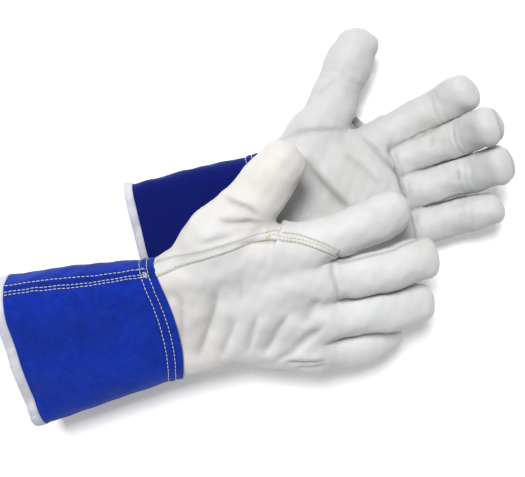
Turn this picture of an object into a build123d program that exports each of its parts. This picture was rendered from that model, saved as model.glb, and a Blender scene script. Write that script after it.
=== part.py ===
"""A pair of leather welding gloves with gauntlet cuffs, lying one on the other.

The left glove lies on its back, palm up. The right glove lies palm down across it. Millimetres, +Z up, the
origin on the table under the middle of the pair, +X towards the fingertips.

Each glove is built in its own frame: +X from the wrist seam to the fingers, +Y to the thumb side, +Z out of
the back of the hand. The left glove is the mirror image in Z. A digit is built in a frame of its own: the
origin at its root, +X along it, +Y to the thumb side, +Z to the back of the hand.
"""

import os
from math import cos, radians, sin, sqrt

from build123d import *

# Leathers and linings
LEATHER = 1.2  # grain leather of the hand
CUFF_WALL = 1.4  # split leather of the cuff
BINDING_WALL = 0.9  # tape folded over the edge of the cuff
LINER = 0.7  # knitted cut-resistant lining
LINER_GAP = 0.2
STRIP_WALL = 0.9  # tape sewn over the seam on the back of the hand
THREAD = 0.6

# Sections across a glove: X, the lowest and highest Y, then the palm side's Z and the back's Z, each on the
# little finger's side and on the thumb's side, and the corner radius. The glove underneath is pressed flat
# on the table, and its cuff thin where the other one lies on it.
HAND_SECTIONS = {
    "right": (
        (-12.0, (-44.0, 45.0), (-18.0, -18.0), (18.0, 18.0), 16.5),
        (3.0, (-44.0, 46.0), (-18.3, -18.3), (18.3, 18.3), 16.5),
        (40.0, (-44.0, 50.0), (-20.0, -20.0), (20.0, 20.0), 15.0),
        (78.0, (-48.0, 53.0), (-18.5, -18.5), (20.0, 20.0), 13.0),
        (116.0, (-56.0, 58.5), (-14.0, -14.0), (20.0, 20.0), 11.0),
    ),
    "left": (
        (-12.0, (-44.0, 45.0), (-10.0, -17.0), (19.0, 19.0), 12.5),
        (3.0, (-44.0, 46.0), (-12.0, -18.3), (19.0, 19.0), 12.5),
        (40.0, (-44.0, 50.0), (-17.0, -20.0), (21.8, 20.9), 13.0),
        (78.0, (-48.0, 53.0), (-18.5, -18.5), (21.8, 20.9), 13.0),
        (116.0, (-56.0, 58.5), (-14.0, -14.0), (21.8, 20.9), 11.0),
    ),
}
CUFF_SECTIONS = {
    "right": (
        (-124.0, (-69.0, 51.5), (-20.0, -28.0), (27.0, 32.0), 22.0),
        (-60.0, (-57.0, 49.5), (-20.0, -24.0), (24.0, 26.0), 20.0),
        (-12.0, (-46.5, 47.5), (-20.2, -20.2), (20.6, 20.6), 17.0),
        (5.0, (-46.2, 48.0), (-20.2, -20.2), (20.4, 20.4), 17.0),
    ),
    "left": (
        (-124.0, (-64.0, 50.0), (2.0, -24.0), (20.9, 20.9), 8.8),
        (-60.0, (-56.0, 49.5), (1.0, -22.0), (20.9, 20.9), 9.2),
        (-12.0, (-46.5, 47.5), (-12.0, -19.2), (20.9, 20.9), 12.5),
        (5.0, (-46.2, 48.0), (-14.0, -20.4), (20.9, 20.9), 12.5),
    ),
}
CUFF_LAP = 3.0  # how far the cuff runs past the wrist seam
# The hand's leather stops this far short of each finger's root
KNUCKLE_SETBACKS = {"index": 13.5, "middle": 6.0, "ring": 6.0, "little": 12.0}
BINDING_WIDTH = 6.0
STITCH_ROWS = (-8.5, -3.5)  # from the wrist seam

# Digits: root, lengths of the two straight parts, radii at root, bend and tip
DIGITS = {
    "index": ((112.0, 45.0, 4.0), (32.0, 37.0), (13.5, 15.2, 13.8)),
    "middle": ((120.0, 15.5, 4.0), (38.0, 40.0), (13.5, 14.5, 13.5)),
    "ring": ((118.0, -14.0, 4.0), (36.0, 38.0), (13.5, 14.2, 13.2)),
    "little": ((108.0, -42.0, 4.0), (29.0, 32.0), (13.3, 13.6, 12.2)),
    "thumb": ((52.0, 53.0, 0.0), (40.0, 41.0), (18.0, 16.8, 15.5)),
}
MOUTH_SHARE = 0.5  # a digit reaches back behind its root by this share of its radius
KNEE = 8.0  # a digit turns over this length on both sides of its bend
TIP_HEIGHTS = (0.0, 0.5, 0.8, 0.97)  # sections of the rounded tip, as shares of its radius
FOURCHETTE_SHARE = 0.7  # a fourchette covers the side beyond this share of the radius
SEAM_DROP = 0.25  # the seam runs this share of the radius to the palm side of the middle
ROOT_CLEARANCE = 1.5  # round the thumb's root

# The seam tape on the back runs along the thumb side to the fork of index and middle finger
SEAM_TAPE_PATH = ((8.0, 38.0), (45.0, 42.0), (78.0, 46.0), (104.0, 37.0), (112.0, 30.5))
SEAM_TAPE_BENDS = (60.0, 60.0, 18.0)
SEAM_TAPE_WIDTH = 6.5

# How each glove lies: wrist seam centre, turn about Z, pitch about Y and roll about X, then where its
# cuff's mouth crosses the axis and how far that edge is turned, and each digit's splay, dip and bend, and
# its travel
GLOVES = {
    "right": {
        "at": (-66.4, -67.8, 50.4),
        "turn": 8.0,
        "pitch": -2.0,
        "roll": 18.0,
        "mirrored": False,
        "mouth": (-111.5, 2.5),
        "digits": {
            "index": (4.0, 6.0, 21.0, (-20.0, 0.0)),
            "middle": (1.5, 4.0, 16.0, (-20.0, 0.0)),
            "ring": (-3.0, 5.0, 19.0, (-20.0, 0.0)),
            "little": (-2.5, 13.0, 22.0, (-20.0, 0.0)),
            "thumb": (44.0, 4.0, 5.0, (-20.0, 0.0)),
        },
    },
    "left": {
        "at": (9.1, 10.2, 22.2),
        "turn": 16.0,
        "pitch": 0.0,
        "roll": 0.0,
        "mirrored": True,
        "mouth": (-106.0, -4.5),
        "digits": {
            "index": (5.5, 12.0, 30.0, (0.0, 30.0)),
            "middle": (2.0, 24.0, 48.0, (0.0, 25.0)),
            "ring": (-1.0, 15.0, 38.0, (0.0, 30.0)),
            "little": (-3.0, 4.0, 20.0, (0.0, 20.0)),
            "thumb": (51.0, 0.0, 5.0, (0.0, 30.0)),
        },
    },
}
REACH = 400.0  # larger than the pair, for cutting blocks


def lofted(sections, inset):
    """The closed shape through four-cornered sections with rounded corners, taken in all round."""
    with BuildPart() as block:
        for x, (low_y, high_y), (palm_far, palm_near), (back_far, back_near), radius in sections:
            with BuildSketch(Plane.YZ.offset(x)) as section:
                with BuildLine():
                    Polyline(
                        (low_y, palm_far),
                        (high_y, palm_near),
                        (high_y, back_near),
                        (low_y, back_far),
                        close=True,
                    )
                make_face()
                fillet(section.vertices(), radius)
                if inset:
                    offset(amount=-inset, mode=Mode.REPLACE)
        loft()
    return block.part


def beyond(x, slant=0.0):
    """A block that holds everything with a larger X than a plane through x, turned by slant about Z."""
    with BuildPart(Plane(origin=(x, 0, 0), z_dir=(cos(radians(slant)), sin(radians(slant)), 0))) as block:
        Box(REACH, REACH, REACH, align=(Align.CENTER, Align.CENTER, Align.MIN))
    return block.part


def knuckle_block():
    """Everything ahead of the line along which the hand's leather stops, between the knuckles."""
    line = [(DIGITS[name][0][0] - setback, DIGITS[name][0][1]) for name, setback in KNUCKLE_SETBACKS.items()]
    with BuildPart() as block:
        with BuildSketch(Plane.XY.offset(-REACH / 2)):
            with BuildLine():
                Polyline(
                    (REACH, REACH),
                    (line[0][0], REACH),
                    *line,
                    (line[-1][0], -REACH),
                    (REACH, -REACH),
                    close=True,
                )
            make_face()
        extrude(amount=REACH)
    return block.part


def axis_points(name, bend):
    """The places of a digit's bend and of its tip's centre, in its own frame, where it bends towards -Z."""
    _, (first, second), (_, _, tip_radius) = DIGITS[name]
    straight = second - tip_radius
    tip = (first + straight * cos(radians(bend)), -straight * sin(radians(bend)))
    return (first, 0.0), tip


def digit_block(name, bend, inset, extra=0.0):
    """The closed shape of a digit in its own frame: round sections along a bent line, closing to a blunt tip.

    It starts extra behind the place where the digit's leather starts.
    """
    root_radius, bend_radius, tip_radius = (radius - inset for radius in DIGITS[name][2])
    (bend_x, bend_z), (tip_x, tip_z) = axis_points(name, bend)
    along = (cos(radians(bend)), -sin(radians(bend)))
    start = -MOUTH_SHARE * DIGITS[name][2][0] - extra
    stations = [
        (start, 0.0, 0.0, root_radius),
        (0.3 * bend_x, 0.0, 0.0, root_radius),
        (bend_x - KNEE, 0.0, 0.0, bend_radius),
        (bend_x + KNEE * along[0], bend_z + KNEE * along[1], bend, bend_radius),
    ]
    for height in TIP_HEIGHTS:
        reach = height * tip_radius
        width = tip_radius * sqrt(1 - height**2)
        stations.append((tip_x + reach * along[0], tip_z + reach * along[1], bend, width))
    with BuildPart() as block:
        for x, z, angle, radius in stations:
            direction = (cos(radians(angle)), 0, -sin(radians(angle)))
            with BuildSketch(Plane(origin=(x, 0, z), x_dir=(0, 1, 0), z_dir=direction)):
                Circle(radius)
        loft(ruled=True)
    return block.part


def digit_shell(name, bend, outside, wall):
    """A digit as a tube closed at its tip and open at its root."""
    with BuildPart() as shell:
        add(digit_block(name, bend, outside))
        add(digit_block(name, bend, outside + wall, extra=1.0), mode=Mode.SUBTRACT)
    return shell.part


def palm_side_block(name, bend):
    """Everything on the palm side of the surface that parts a digit's front leather from its back leather."""
    radii = DIGITS[name][2]
    drop = -SEAM_DROP * radii[1]
    (bend_x, bend_z), (tip_x, tip_z) = axis_points(name, bend)
    run_out = 60.0
    end = (tip_x + run_out * cos(radians(bend)), tip_z + drop - run_out * sin(radians(bend)))
    with BuildPart() as block:
        with BuildSketch(Plane.XZ.offset(-REACH / 2)):
            with BuildLine():
                Polyline(
                    (-run_out, drop),
                    (bend_x, bend_z + drop),
                    (tip_x, tip_z + drop),
                    end,
                    (end[0], -REACH),
                    (-run_out, -REACH),
                    close=True,
                )
            make_face()
        extrude(amount=REACH)
    return block.part


def side_block(offset):
    """Everything with a Y beyond offset, on offset's own side."""
    side = Align.MIN if offset > 0 else Align.MAX
    with BuildPart() as block:
        with Locations((0, offset, 0)):
            Box(REACH, REACH, REACH, align=(Align.CENTER, side, Align.CENTER))
    return block.part


def cut_from(shell, keep=(), drop=()):
    """What shell shares with every block in keep, less every block in drop."""
    with BuildPart() as piece:
        add(shell)
        for block in keep:
            add(block, mode=Mode.INTERSECT)
        for block in drop:
            add(block, mode=Mode.SUBTRACT)
    return piece.part


def digit_pieces(name, bend):
    """The leathers of one digit and its lining. Fourchettes are the strips between two fingers."""
    shell = digit_shell(name, bend, 0.0, LEATHER)
    palm_side = palm_side_block(name, bend)
    reach = FOURCHETTE_SHARE * DIGITS[name][2][1]
    thumb_side, far_side = side_block(reach), side_block(-reach)
    pieces = {"liner": digit_shell(name, bend, LEATHER + LINER_GAP, LINER)}
    if name == "index":
        pieces["wrap"] = cut_from(shell, drop=[far_side])
        pieces["fourchette"] = cut_from(shell, keep=[far_side])
    elif name == "little":
        pieces["fourchette"] = cut_from(shell, keep=[thumb_side])
        pieces["front"] = cut_from(shell, keep=[palm_side], drop=[thumb_side])
        pieces["back"] = cut_from(shell, drop=[palm_side, thumb_side])
    elif name == "thumb":
        pieces["front"] = cut_from(shell, keep=[palm_side])
        pieces["back"] = cut_from(shell, drop=[palm_side])
    else:
        pieces["inner_fourchette"] = cut_from(shell, keep=[thumb_side])
        pieces["outer_fourchette"] = cut_from(shell, keep=[far_side])
        pieces["front"] = cut_from(shell, keep=[palm_side], drop=[thumb_side, far_side])
        pieces["back"] = cut_from(shell, drop=[palm_side, thumb_side, far_side])
    return pieces


def digit_location(name, splay, dip):
    """Where a digit's own frame lies in its glove's frame."""
    return Location(DIGITS[name][0]) * Location((0, 0, 0), (0, 0, splay)) * Location((0, 0, 0), (0, dip, 0))


def thumb_room(splay, dip, bend, travel):
    """The spaces that the thumb's root needs through the hand's leather, at rest and over its travel."""
    grown = digit_block("thumb", bend, -ROOT_CLEARANCE, extra=1.0)
    return [
        grown.moved(digit_location("thumb", splay, dip + travel[0] + share * (travel[1] - travel[0])))
        for share in (0, 1 / 3, 2 / 3, 1)
    ]


def seam_tape_block():
    """The outline of the tape over the seam on the back of the hand, as a tall block."""
    with BuildPart() as tape:
        with BuildSketch(Plane.XY):
            with BuildLine():
                FilletPolyline(*SEAM_TAPE_PATH, radius=SEAM_TAPE_BENDS)
            trace(line_width=SEAM_TAPE_WIDTH)
        extrude(amount=REACH)
    return tape.part


def back_block():
    """Everything on the back of the hand, on the little finger's side of the taped seam."""
    with BuildPart() as block:
        with BuildSketch(Plane.XY):
            with BuildLine():
                Polyline(
                    (-REACH / 2, -REACH / 2),
                    (-REACH / 2, SEAM_TAPE_PATH[0][1]),
                    *SEAM_TAPE_PATH,
                    (REACH / 2, SEAM_TAPE_PATH[-1][1]),
                    (REACH / 2, -REACH / 2),
                    close=True,
                )
            make_face()
        extrude(amount=REACH)
    return block.part


def hand_pieces(sections, thumb):
    """The back and palm leathers, the tape over their seam and the lining of the hand."""
    outer, knuckles, room = lofted(sections, 0.0), knuckle_block(), thumb_room(*thumb)
    shell = cut_from(outer, drop=[lofted(sections, LEATHER), knuckles, *room])
    lining = cut_from(
        lofted(sections, LEATHER + LINER_GAP),
        drop=[lofted(sections, LEATHER + LINER_GAP + LINER), knuckles, *room],
    )
    tape = cut_from(
        lofted(sections, -STRIP_WALL), keep=[seam_tape_block()], drop=[outer, knuckles, *room]
    )
    back = back_block()
    return {
        "back_panel": cut_from(shell, keep=[back]),
        "palm_panel": cut_from(shell, drop=[back]),
        "seam_tape": tape,
        "hand_liner": lining,
    }


def cuff_pieces(sections, mouth_x, mouth_turn):
    """The cuff, the tape bound over its mouth and the two rows of thread that hold it to the hand."""
    outer = lofted(sections, 0.0)
    cuff = cut_from(
        outer,
        keep=[beyond(mouth_x, mouth_turn)],
        drop=[lofted(sections, CUFF_WALL), beyond(CUFF_LAP)],
    )
    binding = cut_from(
        lofted(sections, -BINDING_WALL),
        keep=[beyond(mouth_x - BINDING_WALL, mouth_turn)],
        drop=[
            lofted(sections, CUFF_WALL + BINDING_WALL),
            beyond(mouth_x + BINDING_WIDTH, mouth_turn),
            cuff,
        ],
    )
    skin = cut_from(lofted(sections, -THREAD / 2), drop=[outer])
    with BuildPart() as stitching:
        for x in STITCH_ROWS:
            add(cut_from(skin, keep=[beyond(x)], drop=[beyond(x + THREAD)]))
    return {"cuff": cuff, "cuff_binding": binding, "cuff_stitching": stitching.part}


def glove_pieces(glove, pose):
    """Every piece of one glove, in the glove's frame."""
    pieces = {
        **hand_pieces(HAND_SECTIONS[glove], pose["digits"]["thumb"]),
        **cuff_pieces(CUFF_SECTIONS[glove], *pose["mouth"]),
    }
    for name, (splay, dip, bend, _) in pose["digits"].items():
        where = digit_location(name, splay, dip)
        for piece, part in digit_pieces(name, bend).items():
            pieces[f"{name}_{piece}"] = part.moved(where)
    return pieces


def main():
    os.makedirs("parts", exist_ok=True)
    for glove, pose in GLOVES.items():
        where = (
            Location(pose["at"])
            * Location((0, 0, 0), (0, 0, pose["turn"]))
            * Location((0, 0, 0), (0, pose["pitch"], 0))
            * Location((0, 0, 0), (pose["roll"], 0, 0))
        )
        for piece, part in glove_pieces(glove, pose).items():
            if pose["mirrored"]:
                part = part.mirror(Plane.XY)
            part = part.moved(where)
            part.label = f"{glove}_{piece}"
            export_step(part, f"parts/{part.label}.step")


main()
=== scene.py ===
"""The looks of a pair of leather welding gloves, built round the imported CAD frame.

Each glove starts as one implicit shape with spread, straight digits, in millimetres in its own frame: +X from
the wrist seam to the fingers, +Y to the thumb side, +Z out of the back of the hand. The digits are then bent
into the pose that the CAD has, the leathers are cut out as thick shells, and everything goes to metres.
"""

from math import cos, pi, radians, sin

import bpy
import numpy as np
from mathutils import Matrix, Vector
from mathutils.bvhtree import BVHTree
from mathutils.kdtree import KDTree


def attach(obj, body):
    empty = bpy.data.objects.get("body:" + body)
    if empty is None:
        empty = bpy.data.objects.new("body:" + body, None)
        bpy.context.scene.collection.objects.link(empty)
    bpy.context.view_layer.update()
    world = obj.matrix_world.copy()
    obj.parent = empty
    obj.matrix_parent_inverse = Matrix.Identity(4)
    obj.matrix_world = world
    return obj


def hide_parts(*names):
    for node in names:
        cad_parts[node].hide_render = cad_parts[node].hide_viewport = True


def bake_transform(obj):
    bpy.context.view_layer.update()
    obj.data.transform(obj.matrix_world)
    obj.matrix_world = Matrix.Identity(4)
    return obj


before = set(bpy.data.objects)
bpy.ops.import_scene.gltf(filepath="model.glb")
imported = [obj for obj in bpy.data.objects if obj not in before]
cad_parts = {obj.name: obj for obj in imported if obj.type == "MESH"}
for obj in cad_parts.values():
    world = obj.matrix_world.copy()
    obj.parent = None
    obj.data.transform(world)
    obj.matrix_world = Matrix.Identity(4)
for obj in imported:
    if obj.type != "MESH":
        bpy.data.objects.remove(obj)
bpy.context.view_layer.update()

MM = 0.001
FINGERS = ("index", "middle", "ring", "little")
LEATHER = 1.1  # thickness of the hand's leathers

# Each glove's digits: root, lengths of the two straight parts, radii at root, bend and tip, the splay of the
# spread hand, and the splay, dip and bend as it lies
DIGITS = {
    "right": {
        "index": ((112.0, 46.0, 4.0), (32.0, 38.0), (14.6, 16.0, 15.0), 15.0, (6.5, 6.0, 18.0)),
        "middle": ((117.0, 15.0, 4.0), (41.0, 41.0), (14.2, 16.0, 15.2), 5.0, (1.2, 4.0, 14.0)),
        "ring": ((113.0, -14.5, 4.0), (41.0, 39.0), (14.0, 15.4, 14.6), -5.0, (-2.6, 5.0, 17.0)),
        "little": ((103.0, -42.0, 4.0), (34.0, 33.0), (13.2, 13.9, 12.8), -15.0, (-1.5, 12.0, 20.0)),
        "thumb": ((42.5, 54.0, 0.0), (41.0, 44.0), (20.0, 18.4, 16.4), 48.0, (41.5, 4.0, 5.0)),
    },
    "left": {
        "index": ((98.0, 33.5, 4.0), (44.0, 33.0), (13.8, 15.4, 14.2), 13.0, (12.0, 9.0, 33.0)),
        "middle": ((107.0, 13.0, 4.0), (47.0, 36.0), (13.5, 14.4, 13.4), 4.0, (4.2, 20.0, 48.0)),
        "ring": ((107.0, -12.5, 4.0), (44.0, 35.0), (13.5, 14.8, 14.0), -4.0, (0.5, 13.0, 40.0)),
        "little": ((102.0, -40.0, 4.0), (35.0, 32.0), (13.2, 14.2, 12.4), -14.0, (-2.0, 3.0, 22.0)),
        "thumb": ((52.0, 53.0, 0.0), (40.0, 41.0), (18.4, 17.2, 15.8), 50.5, (50.5, 0.0, 5.0)),
    },
}
# Where the hinges are along X, for the skin that turns between the hand and a digit
HINGES = {"index": 112.0, "middle": 120.0, "ring": 118.0, "little": 108.0}
# A digit's leathers start this far from its root, where the hand's leathers end
DIGIT_START = {
    "right": {"index": 11.0, "middle": 3.0, "ring": 6.0, "little": 10.0, "thumb": 14.0},
    "left": {"index": 9.0, "middle": -11.0, "ring": -9.0, "little": -4.0, "thumb": 14.0},
}
SEAM_HEIGHT = {"right": -3.0, "left": 3.5}  # of the seams along the fingers, towards the back
BLEND_LENGTH = 16.0

# Sections across the hand: X, lowest and highest Y, palm side's Z and back's Z (each on the little finger's
# side and on the thumb's side), corner radius
HANDS = {
    "right": (
        (-14.0, (-42.5, 43.5), (-17.0, -17.0), (17.0, 17.0), 16.0),
        (3.0, (-44.0, 46.0), (-18.0, -18.0), (18.0, 18.0), 17.0),
        (40.0, (-42.0, 48.0), (-20.0, -20.0), (20.0, 20.0), 18.0),
        (76.0, (-43.5, 65.0), (-18.5, -14.0), (19.0, 17.5), 15.0),
        (112.0, (-51.0, 58.5), (-10.0, -10.0), (17.5, 17.5), 13.0),
    ),
    "left": (
        (-14.0, (-42.5, 43.5), (-9.0, -16.0), (18.4, 18.4), 12.5),
        (3.0, (-44.0, 46.0), (-12.0, -18.0), (19.0, 19.0), 14.0),
        (40.0, (-43.0, 47.0), (-17.0, -20.0), (21.6, 21.0), 18.0),
        (66.0, (-44.5, 40.0), (-18.5, -18.5), (21.6, 21.0), 17.0),
        (106.0, (-52.0, 40.0), (-12.0, -12.0), (18.5, 18.5), 13.0),
    ),
}
CUFFS = {
    "right": (
        (-124.0, (-69.0, 51.5), (-20.0, -28.0), (27.0, 32.0), 22.0),
        (-60.0, (-57.0, 49.5), (-20.0, -24.0), (24.0, 26.0), 20.0),
        (-12.0, (-46.5, 47.5), (-20.2, -20.2), (20.6, 20.6), 17.0),
        (9.0, (-46.2, 48.0), (-20.2, -20.2), (20.4, 20.4), 17.0),
    ),
    "left": (
        (-124.0, (-64.0, 50.0), (2.0, -24.0), (20.9, 20.9), 8.8),
        (-60.0, (-56.0, 49.5), (1.0, -22.0), (20.9, 20.9), 9.2),
        (-12.0, (-46.5, 47.5), (-12.0, -19.2), (20.9, 20.9), 12.5),
        (9.0, (-46.2, 48.0), (-14.0, -20.4), (20.9, 20.9), 12.5),
    ),
}
# How each glove lies: wrist seam centre, turn about Z, pitch about Y, roll about X, the cuff's mouth and its slant, the
# ball of the thumb, the X of the knuckles from the little finger's side to the thumb's, and how full the thumb's web is
GLOVES = {
    "right": {
        "at": (-66.4, -67.8, 50.4),
        "turn": 8.0,
        "pitch": -2.0,
        "roll": 18.0,
        "mirrored": False,
        "mouth": (-111.5, 2.5),
        "ball": ((18, 38, -1), (39, 54, -1), 16.0, 21.0),
        "knuckles": (94, 101, 110, 112, 104, 95),
        "web": 12.0,
    },
    "left": {
        "at": (9.1, 10.2, 22.2),
        "turn": 16.0,
        "pitch": 0.0,
        "roll": 0.0,
        "mirrored": True,
        "mouth": (-106.0, -4.5),
        "ball": ((20, 36, -1), (45, 50, -1), 15.5, 19.5),
        "knuckles": (88, 94, 98, 98, 88, 76),
        "web": 5.0,
    },
}


# ---------------------------------------------------------------------------------------------- shape of the gloves
def turned(axis, angle):
    c, s = cos(radians(angle)), sin(radians(angle))
    rows = {
        "x": ((1, 0, 0), (0, c, -s), (0, s, c)),
        "y": ((c, 0, s), (0, 1, 0), (-s, 0, c)),
        "z": ((c, -s, 0), (s, c, 0), (0, 0, 1)),
    }
    return np.array(rows[axis])


def smooth_min(a, b, k):
    h = np.clip(0.5 + 0.5 * (b - a) / k, 0, 1)
    return b + (a - b) * h - k * h * (1 - h)


def smooth_step(x, low, high):
    t = np.clip((x - low) / (high - low), 0, 1)
    return t * t * (3 - 2 * t)


def rounded_quad(sections, x):
    """The interpolated section at each x: low and high Y, palm Z far and near, back Z far and near, radius."""
    xs = [s[0] for s in sections]
    rows = np.array([[*s[1], *s[2], *s[3], s[4]] for s in sections])
    return [np.interp(x, xs, rows[:, k]) for k in range(7)]


def hand_field(points, sections, knuckle_line):
    """About the distance from the closed shape of the palm and wrist, without any digit."""
    low, high, palm_far, palm_near, back_far, back_near, radius = rounded_quad(sections, points[:, 0])
    across = np.clip((points[:, 1] - low) / (high - low), 0, 1)
    bottom = palm_far + (palm_near - palm_far) * across
    top = back_far + (back_near - back_far) * across
    half = (top - bottom) / 2
    radius = np.minimum(radius, half - 0.5)
    qy = np.abs(points[:, 1] - (low + high) / 2) - ((high - low) / 2 - radius)
    qz = np.abs(points[:, 2] - (top + bottom) / 2) - (half - radius)
    d = np.hypot(np.maximum(qy, 0), np.maximum(qz, 0)) + np.minimum(np.maximum(qy, qz), 0) - radius
    knuckles = np.interp(points[:, 1], [-56, -42, -14, 15, 45, 60], knuckle_line)
    d = -smooth_min(-d, -(points[:, 0] - knuckles - 3.0), 10.0)
    return -smooth_min(-d, 14.0 + points[:, 0], 0.5)


def bone_field(points, a, b, radius_a, radius_b):
    a, b = np.array(a, float), np.array(b, float)
    axis = b - a
    t = np.clip((points - a) @ axis / (axis @ axis), 0, 1)
    return np.linalg.norm(points - a - t[:, None] * axis, axis=1) - (radius_a + (radius_b - radius_a) * t)


class Digit:
    """One digit: spread and straight for meshing, and bent as it lies."""

    def __init__(self, name, root, lengths, radii, spread, pose):
        (first, second), (splay, dip, bend), self.radii = lengths, pose, radii
        self.name, self.root, self.first = name, np.array(root), first
        self.length = first + second
        self.spread = turned("z", spread)
        self.frame = turned("z", splay) @ turned("y", dip)
        # the bent line, walked in small steps; it turns towards -Z between two thirds before and after the bend
        steps = np.arange(-60.0, self.length + 40.0, 0.5)
        angle = radians(bend) * smooth_step(steps, first - 16.0, first + 16.0)
        x = np.concatenate([[0], np.cumsum(0.5 * np.cos((angle[1:] + angle[:-1]) / 2))])
        z = np.concatenate([[0], np.cumsum(-0.5 * np.sin((angle[1:] + angle[:-1]) / 2))])
        zero = np.argmin(np.abs(steps))
        self.steps, self.line, self.angle = steps, (x - x[zero], z - z[zero]), angle

    def coordinates(self, points):
        """Length along, offset to the thumb side and offset to the back, on the spread hand."""
        return (points - self.root) @ self.spread

    def radius(self, s):
        r0, r1, r2 = self.radii
        length = self.length
        return np.interp(
            s,
            [-6, 0, 0.25 * length, 0.5 * length, 0.7 * length, length - r2],
            [r0, r0, 0.55 * r0 + 0.45 * r1, r1, 0.6 * r1 + 0.4 * r2, r2],
        )

    def field(self, points):
        s, v, w = self.coordinates(points).T
        core = np.clip(s, -6, self.length - 0.86 * self.radii[2])
        deep = np.interp(s, [0, self.length], [0.97, 0.86])
        blunt = 2.15 if self.name == "thumb" else 2.5  # of the tip: 2 is round
        aside = np.sqrt((v / 1.03) ** 2 + (w / deep) ** 2)
        ahead = np.abs(s - core) / 0.86
        return (aside**blunt + ahead**blunt) ** (1 / blunt) - self.radius(core)

    def posed(self, points):
        s, v, w = self.coordinates(points).T
        x, z = (np.interp(s, self.steps, part) for part in self.line)
        a = np.interp(s, self.steps, self.angle)
        bent = np.stack([x + w * np.sin(a), v, z + w * np.cos(a)], 1)
        return bent @ self.frame.T + self.root


def surface_net(field, low, high, pitch):
    """A quad mesh of the surface where field is zero: one point in each grid cell that the surface crosses."""
    axes = [np.arange(a, b + pitch, pitch) for a, b in zip(low, high)]
    count = [len(a) for a in axes]
    grid = np.stack(np.meshgrid(*axes, indexing="ij"), -1)
    flat = grid.reshape(-1, 3)
    values = np.concatenate([field(p) for p in np.array_split(flat, max(1, len(flat) // 200000))])
    values = values.reshape(count)
    inside = values < 0
    total, crossings = np.zeros([n - 1 for n in count] + [3]), np.zeros([n - 1 for n in count])
    every = slice(None)
    for d in range(3):
        first, second = [every] * 3, [every] * 3
        first[d], second[d] = slice(0, -1), slice(1, None)
        fa, fb = values[tuple(first)], values[tuple(second)]
        cross = inside[tuple(first)] != inside[tuple(second)]
        share = np.where(cross, fa / np.where(cross, fa - fb, 1), 0)
        start = grid[tuple(first)]
        place = start + (grid[tuple(second)] - start) * share[..., None]
        u, v = [k for k in range(3) if k != d]
        for i in (0, 1):
            for j in (0, 1):
                part = [every] * 3
                part[u] = slice(i, i + count[u] - 1)
                part[v] = slice(j, j + count[v] - 1)
                hit = cross[tuple(part)]
                crossings += hit
                total += np.where(hit[..., None], place[tuple(part)], 0)
    number = -np.ones(crossings.shape, int)
    used = crossings > 0
    number[used] = np.arange(used.sum())
    points = total[used] / crossings[used][:, None]
    quads = []
    for d in range(3):
        first, second = [slice(1, -1)] * 3, [slice(1, -1)] * 3
        first[d], second[d] = slice(0, -1), slice(1, None)
        u, v = [k for k in range(3) if k != d]
        cross = np.argwhere(inside[tuple(first)] != inside[tuple(second)])
        base = cross.copy()
        base[:, [u, v]] += 1
        step_u, step_v = np.eye(3, dtype=int)[u], np.eye(3, dtype=int)[v]
        corners = [base - step_u - step_v, base - step_v, base, base - step_u]
        quad = np.stack([number[tuple(c.T)] for c in corners], 1)
        outward = inside[tuple(first)][tuple(cross.T)]
        if d == 1:
            outward = ~outward
        quad[~outward] = quad[~outward][:, ::-1]
        quads.append(quad)
    return points, np.vstack(quads)


def onto(field, points, times=1, step=0.3):
    """Points moved onto the surface where field is zero."""
    for _ in range(times):
        slope = np.stack([field(points + e) - field(points - e) for e in np.eye(3) * step], 1) / (2 * step)
        points = points - slope * (field(points) / np.maximum((slope**2).sum(1), 0.05))[:, None]
    return points


def edges_of(quads):
    edges = np.vstack([quads[:, [k, (k + 1) % 4]] for k in range(4)])
    return np.unique(np.sort(edges, axis=1), axis=0)


def neighbour_mean(points, edges):
    total = np.zeros_like(points)
    np.add.at(total, edges[:, 0], points[edges[:, 1]])
    np.add.at(total, edges[:, 1], points[edges[:, 0]])
    return total / np.maximum(np.bincount(edges.ravel(), minlength=len(points)), 1)[:, None]


def vertex_normals(points, quads):
    a, b, c, d = (points[quads[:, k]] for k in range(4))
    face = np.cross(c - a, d - b)
    normals = np.zeros_like(points)
    for k in range(4):
        np.add.at(normals, quads[:, k], face)
    return normals / np.maximum(np.linalg.norm(normals, axis=1), 1e-9)[:, None]


def distance_to_path(points, path):
    """Distance from a path in the XY plane, and the share of the path's length at the nearest place."""
    path = np.array(path, float)
    lengths = np.linalg.norm(np.diff(path, axis=0), axis=1)
    before = np.concatenate([[0], np.cumsum(lengths)])
    best, share = np.full(len(points), 1e9), np.zeros(len(points))
    for a, b, start, length in zip(path[:-1], path[1:], before, lengths):
        t = np.clip((points[:, :2] - a) @ (b - a) / length**2, 0, 1)
        d = np.linalg.norm(points[:, :2] - a - t[:, None] * (b - a), axis=1)
        nearer = d < best
        best[nearer], share[nearer] = d[nearer], ((start + t * length) / before[-1])[nearer]
    return best, share


def side_of_path(points, path):
    """Signed distance from a path in the XY plane, positive on the left of its direction."""
    path = np.array(path, float)
    best, sign = np.full(len(points), 1e9), np.ones(len(points))
    for a, b in zip(path[:-1], path[1:]):
        along = (b - a) / np.linalg.norm(b - a)
        t = np.clip((points[:, :2] - a) @ along, 0, np.linalg.norm(b - a))
        off = points[:, :2] - a - t[:, None] * along
        d = np.linalg.norm(off, axis=1)
        nearer = d < best
        best[nearer] = d[nearer]
        sign[nearer] = np.sign(along[0] * off[:, 1] - along[1] * off[:, 0])[nearer]
    return best * sign


def waves(points, length, seed, count=6):
    """A smooth random field of about unit size with features of about the given length."""
    draws = np.random.default_rng(seed)
    total = np.zeros(len(points))
    for _ in range(count):
        direction = draws.normal(size=3)
        direction /= np.linalg.norm(direction)
        total += np.sin(points @ direction * (2 * pi / (length * draws.uniform(0.7, 1.5))) + draws.uniform(0, 2 * pi))
    return total / np.sqrt(count / 2)


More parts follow.
